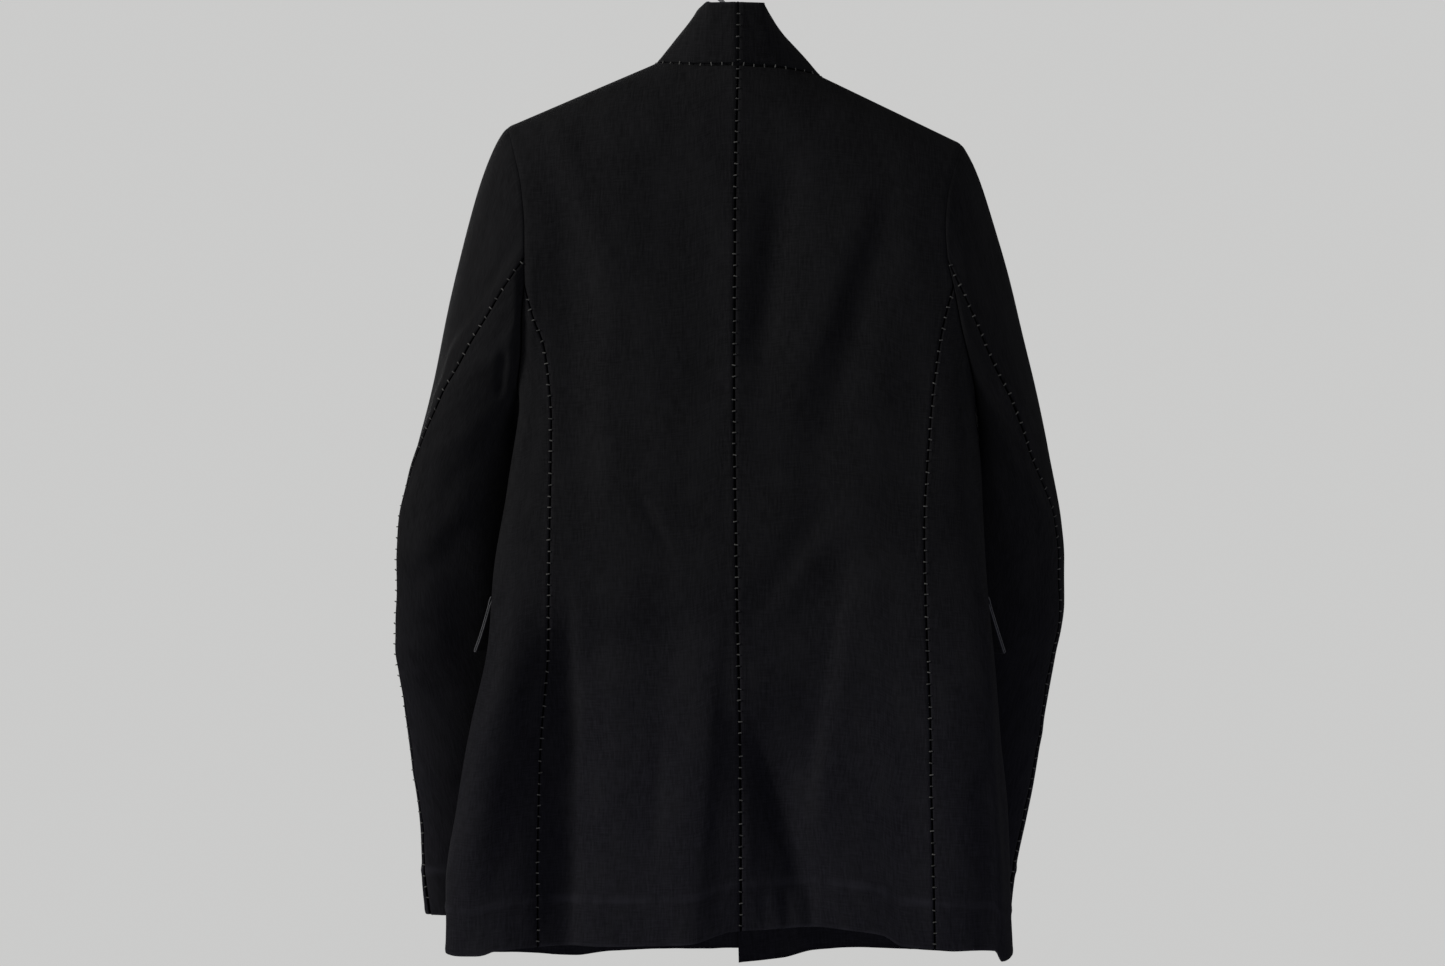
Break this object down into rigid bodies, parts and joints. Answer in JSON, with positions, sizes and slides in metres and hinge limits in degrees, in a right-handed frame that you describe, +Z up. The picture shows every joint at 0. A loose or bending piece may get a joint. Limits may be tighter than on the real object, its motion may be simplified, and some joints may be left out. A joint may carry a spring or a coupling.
{
  "type": "blazer on a hanger",
  "caption": "Slim single-breasted blazer with laced seams and a turned-up collar, hanging on a plain bar hanger by its hook.",
  "frame": {"origin": "inner top of the hanger's hook, where it rests on a rail", "axes": "+Z up; the wearer's front faces -Y and the wearer's left is +X"},
  "size_m": [0.5655, 0.1594, 0.8554],
  "materials": {
    "cloth": "matt black slubbed plain weave",
    "button": "satin black",
    "hanger_wood": "plain varnished wood",
    "hook_steel": "bright steel wire"
  },
  "bodies": {
    "root": {"back_left": "cloth", "back_right": "cloth", "side_left": "cloth", "side_right": "cloth", "front_left": "cloth", "front_right": "cloth", "lapel_left": "cloth", "lapel_right": "cloth", "under_collar_left": "cloth", "under_collar_right": "cloth", "upper_collar": "cloth", "upper_sleeve_left": "cloth", "upper_sleeve_right": "cloth", "under_sleeve_left": "cloth", "under_sleeve_right": "cloth", "pocket_flap_left": "cloth", "pocket_flap_right": "cloth", "button_1": "button", "button_2": "button", "button_3": "button", "hanger": "hanger_wood", "hook": "hook_steel"}
  },
  "joints": []
}
